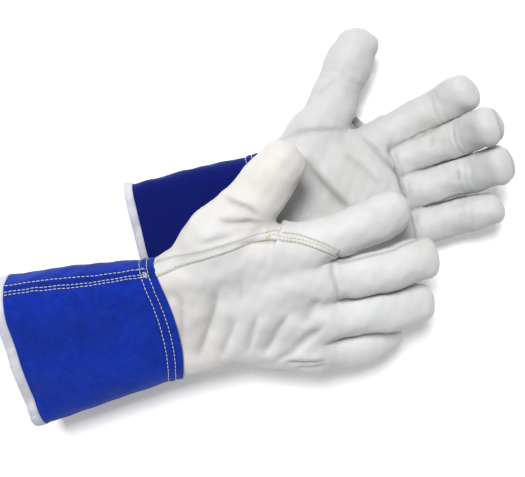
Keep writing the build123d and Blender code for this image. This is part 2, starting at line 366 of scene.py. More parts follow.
# The taped seam on the back: from the wrist along the thumb side to the fork of index and middle finger
TAPE_PATH = (
    (-16, 40),
    (0, 43.5),
    (12, 47.5),
    (30, 52),
    (52, 55.5),
    (66, 57),
    (78, 57),
    (92, 55),
    (106, 50.5),
    (118, 43.5),
    (124, 38.5),
)
KNOT_X = 78.0  # where the tape's rows are locked
# Folds in the leather of the posed hand: side (+1 back, -1 palm), path, depth, width
FOLDS = {
    "right": (
        (1, ((41, 30), (36, 17), (31, 5), (24, -9), (16, -24), (12, -34)), 2.3, 4.2),
        (1, ((57, 33), (55, 22), (53, 10)), 0.7, 2.6),
        (1, ((49, 5), (43, -8), (36, -19), (30, -31)), 1.6, 2.8),
        (1, ((64, 5), (58, -9), (53, -22), (48, -31)), 1.7, 3.0),
        (1, ((87, 2), (77, -10), (69, -22), (60, -33)), 2.1, 3.2),
        (1, ((110, 9), (99, -4), (94, -14)), 1.2, 4.4),
        (1, ((112, -9), (101, -18), (90, -25), (80, -32), (68, -38)), 2.3, 2.8),
        (1, ((74, -37), (92, -39.5), (110, -41)), 1.5, 1.8),
        (1, ((82, -44), (96, -45), (110, -45)), 1.0, 1.6),
        (1, ((9, 32), (12, 18), (9, 2), (6, -20)), 1.1, 3.0),
        (1, ((121, 36), (119, 25), (122, 5)), 0.8, 1.4),
        (1, ((42, 75), (55, 71), (68, 69), (79, 65)), 1.3, 1.7),
        (1, ((48, 88), (58, 84), (69, 78), (77, 69)), 1.6, 1.6),
        (1, ((30, 60), (44, 62), (58, 62)), 0.9, 2.2),
        (-1, ((30, 34), (50, 14), (72, -10)), 1.6, 3.0),
        (-1, ((88, 44), (94, 20), (96, -20), (92, -46)), 1.6, 3.0),
    ),
    "left": (
        (-1, ((28, 36), (34, 25), (40, 11), (51, -8), (56, -22)), 2.2, 4.0),
        (-1, ((74, 46), (82, 32), (89, 16), (97, 3), (98, -8), (100, -23)), 1.5, 1.3),
        (-1, ((15, 52), (32, 52), (51, 49), (73, 44)), 1.0, 1.8),
        (-1, ((110, 23), (99, 24), (94, 20), (93, 13), (94, 7), (100, 1)), 1.1, 1.6),
        (-1, ((104, 2), (97, -5), (96, -13), (101, -22)), 1.1, 1.6),
        (-1, ((116, -22), (106, -27), (100, -40)), 1.4, 2.2),
        (-1, ((58, 32), (72, 14), (82, -6)), 0.9, 3.4),
        (-1, ((128, 24), (124, 12)), 0.9, 1.8),
        (-1, ((140, -5), (136, -17)), 0.8, 1.8),
        (-1, ((52, 74), (60, 80), (70, 83)), 0.6, 2.4),
        (1, ((40, 20), (36, -10), (28, -30)), 1.2, 3.0),
        (1, ((80, 10), (74, -10), (66, -28)), 1.2, 3.0),
    ),
}

ROOM = ((-17, -84, -27), (210, 132, 28))  # the box that holds a spread hand


class Glove:
    def __init__(self, name):
        pose = GLOVES[name]
        self.name, self.pose = name, pose
        mirror = np.diag([1, 1, -1 if pose["mirrored"] else 1])
        self.turn = turned("z", pose["turn"]) @ turned("y", pose["pitch"]) @ turned("x", pose["roll"]) @ mirror
        self.digits = {digit: Digit(digit, *facts) for digit, facts in DIGITS[name].items()}

    def world(self, points):
        """From the glove's frame in millimetres to the row frame in metres."""
        return (np.asarray(points) @ self.turn.T + np.array(self.pose["at"])) * MM

    def field(self, points):
        d = hand_field(points, HANDS[self.name], self.pose["knuckles"])
        for name in FINGERS:
            x, y, z = self.digits[name].root
            slim = 12.0 if name == "little" else 14.0
            d = smooth_min(d, bone_field(points, (58, y * 0.82, 2), (x - 2, y * 0.985, z), slim, 13.4), 9.0)
        a, b, ra, rb = self.pose["ball"]
        d = smooth_min(d, bone_field(points, a, b, ra, rb), 14.0)
        d = smooth_min(d, self.digits["thumb"].field(points), self.pose["web"])
        fingers = self.digits["index"].field(points)
        for name in FINGERS[1:]:
            fingers = smooth_min(fingers, self.digits[name].field(points), 1.2)
        return smooth_min(d, fingers, 6.0)

    def bent(self, points):
        """Points of the spread hand where they lie, still in the glove's frame."""
        names = list(self.digits)
        far = np.stack([self.digits[n].field(points) for n in names], 1)
        near = np.exp(-(far - far.min(1, keepdims=True)) / 0.8)
        near /= near.sum(1, keepdims=True)
        moved = points.copy()
        for k, n in enumerate(names):
            s = self.digits[n].coordinates(points)[:, 0]
            weight = near[:, k] * (smooth_step(s, -14, 12) if n != "thumb" else smooth_step(s, -10, 24))
            moved += weight[:, None] * (self.digits[n].posed(points) - points)
        return moved, far


def leather_of(glove, points):
    """The leather that each point of the spread hand belongs to, as a name."""
    names = list(glove.digits)
    far = np.stack([glove.digits[n].field(points) for n in names], 1)
    nearest = far.argmin(1)
    tape_y = np.interp(points[:, 0], [p[0] for p in TAPE_PATH], [p[1] for p in TAPE_PATH])
    back = (points[:, 2] > 1.5) & (points[:, 1] < tape_y)
    label = np.where(back, "back_panel", "palm_panel").astype(object)
    for k, name in enumerate(names):
        digit = glove.digits[name]
        s, v, w = digit.coordinates(points).T
        mine = (nearest == k) & (s > DIGIT_START[glove.name][name])
        if name == "thumb":
            mine &= points[:, 1] > 66.0
        end = digit.length - 0.75 * digit.radii[2]
        half = 8.0 * np.sqrt(np.clip(1 - (np.clip(s, 0, None) / end) ** 3, 0, 1))
        height = w - SEAM_HEIGHT[glove.name]
        strip = np.abs(height) < half
        if name == "index":
            part = np.where((v < 0) & strip, "index_fourchette", "index_wrap")
        elif name == "thumb":
            part = np.where(w < -1.0, "thumb_front", "thumb_back")
        else:
            part = np.where(height < 0, f"{name}_front", f"{name}_back").astype(object)
            if name == "little":
                part[(v > 0) & strip] = "little_fourchette"
            else:
                part[(v > 0) & strip] = f"{name}_inner_fourchette"
                part[(v < 0) & strip] = f"{name}_outer_fourchette"
        label[mine] = part[mine]
    return label


# Leathers that run on into each other, so that no seam shows between them
ONE_LEATHER = (("palm_panel", "index_wrap"), ("back_panel", "ring_back"), ("back_panel", "little_back"))


def is_seam(a, b):
    pair = {a, b}
    if any(pair == set(p) for p in ONE_LEATHER):
        return False
    return not ("thumb_back" in pair or "thumb_front" in pair) or pair == {"thumb_back", "thumb_front"}


# ---------------------------------------------------------------------------------------------- Blender helpers
def mesh_object(name, points, faces, normals=None, attributes=None):
    """A mesh object in metres; faces is one array of quads, or a list with triangles and quads."""
    mesh = bpy.data.meshes.new(name)
    mesh.from_pydata([tuple(p) for p in points], [], [tuple(int(i) for i in f) for f in faces])
    mesh.polygons.foreach_set("use_smooth", np.ones(len(mesh.polygons), bool))
    for key, values in (attributes or {}).items():
        mesh.attributes.new(key, "FLOAT", "POINT").data.foreach_set("value", np.asarray(values, np.float32))
    mesh.update()
    if normals is not None:
        mesh.normals_split_custom_set_from_vertices([tuple(n) for n in normals])
    obj = bpy.data.objects.new(name, mesh)
    bpy.context.scene.collection.objects.link(obj)
    return obj


def place(obj, body, node, slot, material):
    obj.data.materials.append(material)
    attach(obj, body)
    if node:
        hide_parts(node)
    return obj


def rim_edges(quads):
    """The open edges of a patch of quads, each in its face's direction."""
    sides = np.vstack([quads[:, [k, (k + 1) % 4]] for k in range(4)])
    low, high = sides.min(1), sides.max(1)
    key = low.astype(np.int64) * (sides.max() + 1) + high
    _, first, count = np.unique(key, return_index=True, return_counts=True)
    return sides[first[count == 1]]


def shell_arrays(points, normals, quads, thickness):
    """A patch of the surface as a closed shell: points, faces, normals and the old numbers of its points."""
    used, local = np.unique(quads, return_inverse=True)
    local = local.reshape(quads.shape)
    n = len(used)
    outer, out = points[used], normals[used]
    inner = outer - out * thickness
    rim = rim_edges(local)
    walls = np.stack([rim[:, 1], rim[:, 0], rim[:, 0] + n, rim[:, 1] + n], 1)
    faces = np.vstack([local, local[:, ::-1] + n, walls])
    return np.vstack([outer, inner]), faces, np.vstack([out, -out]), used


def capsule_chain(points, tangents, ups, length, radius):
    """Small thread capsules, one at each point, along its tangent; returned as points and faces."""
    sides, profile = 6, ((-0.5, 0.35), (-0.36, 0.9), (0.0, 1.0), (0.36, 0.9), (0.5, 0.35))
    all_points, all_faces = [], []
    for p, t, u in zip(points, tangents, ups):
        w = np.cross(t, u)
        ring_start = len(all_points)
        for along, share in profile:
            lift = -1.1 * radius * (2 * abs(along)) ** 3
            for k in range(sides):
                a = 2 * pi * k / sides
                all_points.append(p + t * along * length + (u * sin(a) + w * cos(a)) * radius * share + u * lift)
        rings = len(profile)
        for i in range(rings - 1):
            for k in range(sides):
                a, b = ring_start + i * sides + k, ring_start + i * sides + (k + 1) % sides
                all_faces.append((a, b, b + sides, a + sides))
        all_faces.append(tuple(ring_start + k for k in reversed(range(sides))))
        all_faces.append(tuple(ring_start + (rings - 1) * sides + k for k in range(sides)))
    return np.array(all_points), all_faces


def evenly(path, spacing, closed=False):
    """Points and tangents at even steps along a path of points."""
    path = np.asarray(path, float)
    if closed:
        path = np.vstack([path, path[:1]])
    lengths = np.concatenate([[0], np.cumsum(np.linalg.norm(np.diff(path, axis=0), axis=1))])
    count = max(2, int(round(lengths[-1] / spacing)))
    at = (np.arange(count) + 0.5) / count * lengths[-1]
    here = np.stack([np.interp(at, lengths, path[:, k]) for k in range(3)], 1)
    ahead = np.stack([np.interp(at + 0.3 * spacing, lengths, path[:, k]) for k in range(3)], 1)
    behind = np.stack([np.interp(at - 0.3 * spacing, lengths, path[:, k]) for k in range(3)], 1)
    tangents = ahead - behind
    return here, tangents / np.maximum(np.linalg.norm(tangents, axis=1), 1e-9)[:, None]


# ---------------------------------------------------------------------------------------------- materials
def new_material(name, roughness, specular=0.4, sheen=0.0, sheen_tint=(1, 1, 1)):
    material = bpy.data.materials.new(name)
    material.use_nodes = True
    shader = material.node_tree.nodes["Principled BSDF"]
    shader.inputs["Roughness"].default_value = roughness
    shader.inputs["Specular IOR Level"].default_value = specular
    shader.inputs["Sheen Weight"].default_value = sheen
    shader.inputs["Sheen Roughness"].default_value = 0.5
    shader.inputs["Sheen Tint"].default_value = (*sheen_tint, 1)
    return material, material.node_tree, shader


def add_node(tree, kind, **values):
    node = tree.nodes.new(kind)
    for key, value in values.items():
        if key in node.inputs:
            node.inputs[key].default_value = value
        else:
            setattr(node, key.lower(), value)
    return node


def noise(tree, scale, detail=3.0, roughness=0.5, where=None):
    node = add_node(tree, "ShaderNodeTexNoise", Scale=scale, Detail=detail, Roughness=roughness)
    tree.links.new(where or object_place(tree), node.inputs["Vector"])
    return node.outputs["Fac"]


def object_place(tree):
    found = tree.nodes.get("place") or tree.nodes.new("ShaderNodeTexCoord")
    found.name = "place"
    return found.outputs["Object"]


def ramp(tree, value, *stops):
    node = tree.nodes.new("ShaderNodeValToRGB")
    elements = node.color_ramp.elements
    while len(elements) < len(stops):
        elements.new(0.5)
    for element, (position, color) in zip(elements, stops):
        element.position = position
        element.color = (*color, 1) if len(color) == 3 else color
    tree.links.new(value, node.inputs["Fac"])
    return node.outputs["Color"]


def math_node(tree, operation, a, b):
    node = tree.nodes.new("ShaderNodeMath")
    node.operation = operation
    for socket, value in zip(node.inputs, (a, b)):
        if isinstance(value, (int, float)):
            socket.default_value = value
        else:
            tree.links.new(value, socket)
    return node.outputs["Value"]


def mix_colors(tree, factor, a, b, blend="MIX"):
    node = tree.nodes.new("ShaderNodeMix")
    node.data_type, node.blend_type = "RGBA", blend
    for socket, value in ((node.inputs["Factor"], factor), (node.inputs[6], a), (node.inputs[7], b)):
        if isinstance(value, tuple):
            socket.default_value = (*value, 1)
        elif isinstance(value, (int, float)):
            socket.default_value = value
        else:
            tree.links.new(value, socket)
    return node.outputs[2]


def add_bump(tree, shader, height, distance, strength=1.0):
    node = add_node(tree, "ShaderNodeBump", Strength=strength, Distance=distance)
    tree.links.new(height, node.inputs["Height"])
    tree.links.new(node.outputs["Normal"], shader.inputs["Normal"])


def leather_material():
    """Off-white grain leather: soft patches of warm and cool, fine grain with pores, and painted shade that greys its
    folds, seam grooves and the whole lower glove.
    """
    material, tree, shader = new_material("hand_leather", 0.55, 0.35, 0.12)
    patches = noise(tree, 22.0, 2.0, 0.5)
    warmer, palest, cooler = (0.53, 0.53, 0.525), (0.572, 0.573, 0.575), (0.525, 0.536, 0.548)
    tone = ramp(tree, patches, (0.3, warmer), (0.55, palest), (0.75, cooler))
    warm = tree.nodes.new("ShaderNodeAttribute")
    warm.attribute_name = "warm"
    tone = mix_colors(tree, warm.outputs["Fac"], tone, (0.60, 0.57, 0.545))
    mottle = noise(tree, 260.0, 3.0, 0.6)
    speckle = ramp(tree, mottle, (0.3, (0.93, 0.925, 0.91)), (0.7, (1, 1, 1)))
    tone = mix_colors(tree, 0.5, tone, speckle, "MULTIPLY")
    # painted shade: the colour darkens in folds and seam grooves, and over the whole lower glove
    crease = tree.nodes.new("ShaderNodeAttribute")
    crease.attribute_name = "crease"
    tone = mix_colors(tree, crease.outputs["Fac"], tone, (0.15, 0.145, 0.14))
    tree.links.new(tone, shader.inputs["Base Color"])
    grain = tree.nodes.new("ShaderNodeTexVoronoi")
    grain.feature = "DISTANCE_TO_EDGE"
    grain.inputs["Scale"].default_value = 950.0
    warp = add_node(tree, "ShaderNodeVectorMath", operation="ADD")
    wobble = add_node(tree, "ShaderNodeTexNoise", Scale=300.0, Detail=2.0)
    tree.links.new(object_place(tree), wobble.inputs["Vector"])
    scaled = add_node(tree, "ShaderNodeVectorMath", operation="SCALE")
    tree.links.new(wobble.outputs["Color"], scaled.inputs[0])
    scaled.inputs["Scale"].default_value = 0.0012
    tree.links.new(object_place(tree), warp.inputs[0])
    tree.links.new(scaled.outputs["Vector"], warp.inputs[1])
    tree.links.new(warp.outputs["Vector"], grain.inputs["Vector"])
    cells = math_node(tree, "MINIMUM", grain.outputs["Distance"], 0.18)
    height = math_node(tree, "ADD", math_node(tree, "MULTIPLY", cells, 1.4), noise(tree, 420.0, 4.0, 0.6))
    height = math_node(tree, "ADD", height, math_node(tree, "MULTIPLY", noise(tree, 90.0, 2.0, 0.5), 1.6))
    add_bump(tree, shader, height, 0.00022, 0.55)
    rough = ramp(tree, noise(tree, 60.0, 2.0), (0.3, (0.5,) * 3), (0.7, (0.64,) * 3))
    tree.links.new(rough, shader.inputs["Roughness"])
    return material


def suede_material():
    """Royal blue split leather: a nap with lighter and darker strokes; painted shade darkens its seam grooves and its
    palm side.
    """
    material, tree, shader = new_material("cuff_suede", 0.9, 0.15, 0.35, (0.25, 0.4, 1.0))
    strokes = math_node(tree, "ADD", math_node(tree, "MULTIPLY", noise(tree, 45.0, 3.0, 0.6), 0.45), 0.275)
    fine = math_node(tree, "MULTIPLY", noise(tree, 240.0, 3.0, 0.7), 0.55)
    strokes = math_node(tree, "ADD", strokes, fine)
    strokes = math_node(tree, "SUBTRACT", strokes, 0.275)
    nap = noise(tree, 900.0, 3.0, 0.7)
    deep, royal, light = (0.0010, 0.0125, 0.185), (0.0016, 0.021, 0.29), (0.004, 0.034, 0.37)
    tone = ramp(tree, strokes, (0.28, deep), (0.52, royal), (0.78, light))
    fibres = ramp(tree, nap, (0.3, (0.68, 0.70, 0.80)), (0.72, (1.18, 1.15, 1.08)))
    tone = mix_colors(tree, 0.75, tone, fibres, "MULTIPLY")
    # painted shade in the cuff's seam and stitch grooves
    crease = tree.nodes.new("ShaderNodeAttribute")
    crease.attribute_name = "crease"
    tone = mix_colors(tree, crease.outputs["Fac"], tone, (0.0005, 0.006, 0.09))
    # painted shade: the cuff's palm side is painted darker than its back
    painted_palm_side_shade = tree.nodes.new("ShaderNodeAttribute")
    painted_palm_side_shade.attribute_name = "painted_palm_side_shade"
    tone = mix_colors(tree, painted_palm_side_shade.outputs["Fac"], tone, (0.0001, 0.0022, 0.085))
    tree.links.new(tone, shader.inputs["Base Color"])
    height = math_node(tree, "ADD", nap, math_node(tree, "MULTIPLY", strokes, 1.2))
    add_bump(tree, shader, height, 0.0005, 0.6)
    return material


def binding_material():
    material, tree, shader = new_material("binding_tape", 0.62, 0.3, 0.1)
    tone = ramp(tree, noise(tree, 120.0, 4.0, 0.6), (0.3, (0.43, 0.44, 0.50)), (0.7, (0.56, 0.57, 0.63)))
    tree.links.new(tone, shader.inputs["Base Color"])
    add_bump(tree, shader, noise(tree, 700.0, 4.0, 0.65), 0.0003, 0.5)
    return material


def thread_material(name, dark, pale):
    material, tree, shader = new_material(name, 0.6, 0.3, 0.2)
    ply = add_node(tree, "ShaderNodeTexWave", Scale=700.0, Distortion=1.0)
    ply.bands_direction = "DIAGONAL"
    tree.links.new(object_place(tree), ply.inputs["Vector"])
    tree.links.new(ramp(tree, ply.outputs["Fac"], (0.2, dark), (0.8, pale)), shader.inputs["Base Color"])
    add_bump(tree, shader, ply.outputs["Fac"], 0.0001, 0.5)
    return material


def knit_material():
    material, tree, shader = new_material("liner_knit", 0.9, 0.2, 0.3)
    rows = add_node(tree, "ShaderNodeTexWave", Scale=260.0, Distortion=1.5, Detail=1.0)
    tree.links.new(object_place(tree), rows.inputs["Vector"])
    tone = ramp(tree, rows.outputs["Fac"], (0.1, (0.20, 0.21, 0.21)), (0.9, (0.46, 0.47, 0.46)))
    tree.links.new(tone, shader.inputs["Base Color"])
    add_bump(tree, shader, rows.outputs["Fac"], 0.0004, 0.8)
    return material


LEATHER_LOOK, SUEDE, BINDING = leather_material(), suede_material(), binding_material()
KNIT = knit_material()
HAND_THREAD = thread_material("hand_thread", (0.36, 0.31, 0.16), (0.60, 0.54, 0.34))
CUFF_THREAD = thread_material("cuff_thread", (0.42, 0.47, 0.46), (0.66, 0.70, 0.62))


# ---------------------------------------------------------------------------------------------- the hands
def fold_heights(glove, spread, posed):
    """Height that folds, wrinkles and slack leather add along the normal, and how deep in a fold."""
    height = 0.5 * waves(spread, 34.0, 3 if glove.name == "right" else 4) + 0.16 * waves(spread, 12.0, 5)
    depth = np.zeros(len(spread))
    for side, path, deep, width in FOLDS[glove.name]:
        _, share = distance_to_path(posed, path)
        d = side_of_path(posed, path)
        facing = np.clip(side * spread[:, 2] / 12.0, 0, 1)
        ends = smooth_step(np.minimum(share, 1 - share), 0.0, 0.3) * facing
        across = np.sqrt(d**2 + 0.6**2) - 0.6
        steep = np.where(d > 0, max(0.3 * width, 0.9), 1.5 * width)
        valley = np.exp(-across / steep) * ends * (np.abs(d) < 6 * width)
        lip = np.exp(-(((d - 1.9 * width) / (1.2 * width)) ** 2)) * ends
        height += -1.5 * deep * valley + 0.28 * deep * lip
        depth += deep * np.exp(-across / np.where(d > 0, 0.8, max(0.8 * width, 1.2))) * ends
    for digit in glove.digits.values():
        s, v, w = digit.coordinates(spread).T
        mine = smooth_step(s, 4, 16) * (digit.field(spread) < 3.0)
        knee = s - digit.first
        # cross folds inside the bend
        for offset, deep, width in ((-7.0, 0.25, 2.0), (0.0, 0.5, 2.4), (7.5, 0.3, 2.0), (-17.0, 0.2, 3.0)):
            wobble = 1.4 * np.sin(v * 0.22 + offset)
            fold = np.exp(-(((knee - offset - wobble) / width) ** 2)) * np.clip(-w / 9.0, 0, 1) * mine
            height -= deep * fold
            depth += 0.4 * deep * fold
        height += 0.4 * np.sin(s * 0.21 + 2.0 * v / 15.0) * mine * np.clip(np.abs(v) / 12.0, 0, 1)
    return np.clip(height, -3.1, 1.7), depth


def seam_chain(spread, quads, labels):
    """Which points lie on a boundary between two leathers, and on a real seam; and the boundary's edges."""
    sides = np.vstack([quads[:, [k, (k + 1) % 4]] for k in range(4)])
    owner = np.tile(np.arange(len(quads)), 4)
    low, high = sides.min(1), sides.max(1)
    key = low.astype(np.int64) * len(spread) + high
    order = np.argsort(key, kind="stable")
    key, owner, low, high = key[order], owner[order], low[order], high[order]
    twin = np.flatnonzero(key[1:] == key[:-1])
    cut, seam = [], []
    for i in twin:
        a, b = labels[owner[i]], labels[owner[i + 1]]
        if a != b:
            cut.append((low[i], high[i]))
            if is_seam(a, b):
                seam.append((low[i], high[i]))
    return np.array(cut), np.array(seam)


def build_hand(glove):
    spread, quads = surface_net(glove.field, *ROOM, PITCH)
    edges = edges_of(quads)
    for _ in range(3):
        spread = onto(glove.field, spread + 0.7 * (neighbour_mean(spread, edges) - spread))
    open_wrist = spread[quads].mean(1)[:, 0] > -13.2
    centres = spread[quads].mean(1)
    labels = leather_of(glove, centres)
    labels[~open_wrist] = "cap"
    cut, seam = seam_chain(spread, quads, labels)
    # the boundaries are drawn smooth along themselves
    on_cut = np.unique(cut)
    weight = np.bincount(cut.ravel(), minlength=len(spread))
    for _ in range(14):
        mean = neighbour_mean(spread, cut)
        move = (weight == 2)[:, None] * 0.5 * (mean - spread)
        spread = spread + move
        spread[on_cut] = onto(glove.field, spread[on_cut])
    free = np.ones(len(spread), bool)
    free[on_cut] = False
    for _ in range(2):
        step = 0.5 * (neighbour_mean(spread, edges) - spread)
        spread = spread + step * free[:, None]
        spread[free] = onto(glove.field, spread[free])
    points, _ = glove.bent(spread)
    height, depth = fold_heights(glove, spread, points)
    # seams pull the leather in and pucker it beside them
    tree = KDTree(len(np.unique(seam)))
    for i, k in enumerate(np.unique(seam)):
        tree.insert(Vector(spread[k]), i)
    tree.balance()
    to_seam = np.array([tree.find(Vector(p))[2] for p in spread])
    pucker = 0.5 + 0.5 * waves(spread, 5.5, 9, 4)
    groove = np.exp(-((to_seam / 1.15) ** 2))
    if side_is_top(glove):  # the seam at the root of the middle finger is pressed flat
        root = glove.digits["middle"].coordinates(spread)[:, 0] - DIGIT_START[glove.name]["middle"]
        groove *= 1 - 0.45 * (np.abs(root) < 5) * (spread[:, 2] > 4)
    height += -0.9 * groove + 0.38 * np.exp(-(((to_seam - 3.2) / 1.7) ** 2)) * (0.4 + 0.6 * pucker)
    points = rest_on_others(glove, points, spread)
    normals = vertex_normals(points, quads)
    points = points + normals * height[:, None]
    points = rest_on_others(glove, points, spread)
    points = points + 0.35 * (neighbour_mean(points, edges) - points)
    world = glove.world(points)
    world[:, 2] = np.maximum(world[:, 2], 0.0004)
    if glove.pose["mirrored"]:
        quads = quads[:, ::-1]
    normals = vertex_normals(world, quads)
    shade = 0.0 if side_is_top(glove) else 0.16  # painted shade: the lower glove, lying under the other one, is painted a little darker all over
    # painted shade: seam grooves and fold valleys are painted darker, on top of the lower glove's painted shade
    crease = np.clip(shade + 0.36 * groove + 0.25 * depth, 0, 0.8)
    warm = np.zeros(len(spread))
    if side_is_top(glove):
        thumb = glove.digits["thumb"].coordinates(spread)[:, 0]
        away = glove.digits["index"].field(spread) - glove.digits["thumb"].field(spread)
        warm = smooth_step(thumb, -10, 40) * smooth_step(away, 0, 12)
        warm = np.maximum(0.8 * warm, 0.6 - 0.6 * smooth_step(spread[:, 0], -5, 60))
    return {
        "spread": spread,
        "world": world,
        "quads": quads,
        "normals": normals,
        "labels": labels,
        "crease": crease,
        "warm": warm,
    }


def side_is_top(glove):
    return not glove.pose["mirrored"]


def rest_on_others(glove, points, spread, inset=0.0):
    """Neighbouring fingers press flat against each other in place of running into each other."""
    far = np.stack([glove.digits[n].field(spread) for n in FINGERS], 1)
    own = far.argmin(1)
    for i, j in ((0, 1), (1, 2), (2, 3)):
        for a, b in ((i, j), (j, i)):
            digit, other = glove.digits[FINGERS[a]], glove.digits[FINGERS[b]]
            along = digit.coordinates(spread)[:, 0]
            mine = np.flatnonzero((own == a) & (along > 8.0))
            if not len(mine):
                continue
            line_a, line_b = centre_line(digit), centre_line(other)
            da, ra, ca = nearest_on(line_a, points[mine])
            db, rb, cb = nearest_on(line_b, points[mine])
            # the plane half way between the two skins
            gap = (da - ra) - (db - rb)
            between = cb - ca
            between /= np.maximum(np.linalg.norm(between, axis=1), 1e-9)[:, None]
            over = np.clip(gap / 2 + 0.18 + inset, 0, 6.0) * (db < rb + 6.0)
            points[mine] = points[mine] - between * over[:, None]
    return points


def centre_line(digit):
    s = np.arange(-4.0, digit.length - digit.radii[2] + 0.1, 3.0)
    straight = digit.root + s[:, None] * digit.spread[:, 0]
    return digit.posed(straight), digit.radius(s)


def nearest_on(line, points):
    centres, radii = line
    d = np.linalg.norm(points[:, None] - centres[None], axis=2)
    k = d.argmin(1)
    return d[np.arange(len(points)), k], radii[k], centres[k]


def digit_blend(glove, name):
    """Where the skin starts and ends its turn between the hand and a digit, in the row frame."""
    digit = glove.digits[name]
    if name == "thumb":
        ends = np.array([[60.0, 67.5, 0.0], [60.0, 87.5, 0.0]])
    else:
        first = max(HINGES[name] - digit.root[0], DIGIT_START[glove.name][name] + 1.0)
        ends = digit.posed(digit.root + np.outer([first, first + BLEND_LENGTH], digit.spread[:, 0]))
    return [tuple(p) for p in glove.world(ends)]


def add_hand_pieces(glove, data):
    side = glove.name
    for label in sorted(set(data["labels"])):
        if label == "cap":
            continue
        patch = data["quads"][data["labels"] == label]
        points, faces, normals, used = shell_arrays(data["world"], data["normals"], patch, LEATHER * MM)
        crease, warm = (np.tile(data[key][used], 2) for key in ("crease", "warm"))
        name = f"{side}_{label}"
        obj = mesh_object(f"{name}_skin", points, faces, normals, {"crease": crease, "warm": warm})
        digit = label.split("_")[0]
        if digit in glove.digits:
            obj.data.materials.append(LEATHER_LOOK)
            start, end = digit_blend(glove, digit)
            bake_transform(obj)
            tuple(start)
            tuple(end)
            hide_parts(name)
        else:
            place(obj, f"{side}_hand_body", name, "hand_leather", LEATHER_LOOK)


def add_liners(glove):
    """The knitted lining, as thin closed shells just inside the leather."""
    inside = 4.2

    def field(points):
        return glove.field(points) + inside

    spread, quads = surface_net(field, *ROOM, 3.0)
    edges = edges_of(quads)
    for _ in range(3):
        spread = onto(field, spread + 0.7 * (neighbour_mean(spread, edges) - spread))
    centres = spread[quads].mean(1)
    leathers = leather_of(glove, centres)
    owners = [leather.split("_")[0] for leather in leathers]
    labels = np.array([owner if owner in glove.digits else "hand" for owner in owners], object)
    labels[centres[:, 0] < -10.6] = "cap"
    points, _ = glove.bent(spread)
    points = rest_on_others(glove, points, spread, inside - 1.0)
    world = glove.world(points)
    world[:, 2] = np.maximum(world[:, 2], 0.0036)
    if glove.pose["mirrored"]:
        quads = quads[:, ::-1]
    normals = vertex_normals(world, quads)
    for label in sorted(set(labels) - {"cap"}):
        points, faces, shell_normals, _ = shell_arrays(world, normals, quads[labels == label], 0.6 * MM)
        node = f"{glove.name}_{label}_liner"
        obj = mesh_object(f"{node}_knit", points, faces, shell_normals)
        if label == "hand":
            place(obj, f"{glove.name}_hand_body", node, "liner_knit", KNIT)
        else:
            obj.data.materials.append(KNIT)
            start, end = digit_blend(glove, label)
            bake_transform(obj)
            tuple(start)
            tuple(end)
            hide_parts(node)


# ---------------------------------------------------------------------------------------------- tape and stitches
def surface_tree(data):
    points = [Vector(p) for p in data["world"]]
    return BVHTree.FromPolygons(points, [tuple(int(i) for i in quad) for quad in data["quads"]])


def drop_on(tree, glove, path, side):
    """Points of a path given in the hand's XY plane, dropped on the skin from the back (side 1) or palm (-1)."""
    found, ups = [], []
    direction = Vector(glove.turn @ np.array([0, 0, -side]))
    for x, y in path:
        start = Vector(glove.world([x, y, side * 45.0]))
        hit, normal, _, _ = tree.ray_cast(start, direction)
        if hit is None:
            hit, normal, _, _ = tree.find_nearest(start)
        if normal.dot(direction) > 0:
            normal = -normal
        found.append(hit)
        ups.append(normal)
    return np.array(found), np.array(ups)


def smooth_path(path, spacing):
    """A rounded path through the given corners, at about even spacing."""
    path = np.array(path, float)
    for _ in range(3):
        path = np.vstack([path[:1]] + [
            np.array([0.75 * a + 0.25 * b, 0.25 * a + 0.75 * b]) for a, b in zip(path[:-1], path[1:])
        ] + [path[-1:]])
    lengths = np.concatenate([[0], np.cumsum(np.linalg.norm(np.diff(path, axis=0), axis=1))])
    at = np.linspace(0, lengths[-1], max(3, int(lengths[-1] / spacing)))
    return np.stack([np.interp(at, lengths, path[:, k]) for k in range(2)], 1)


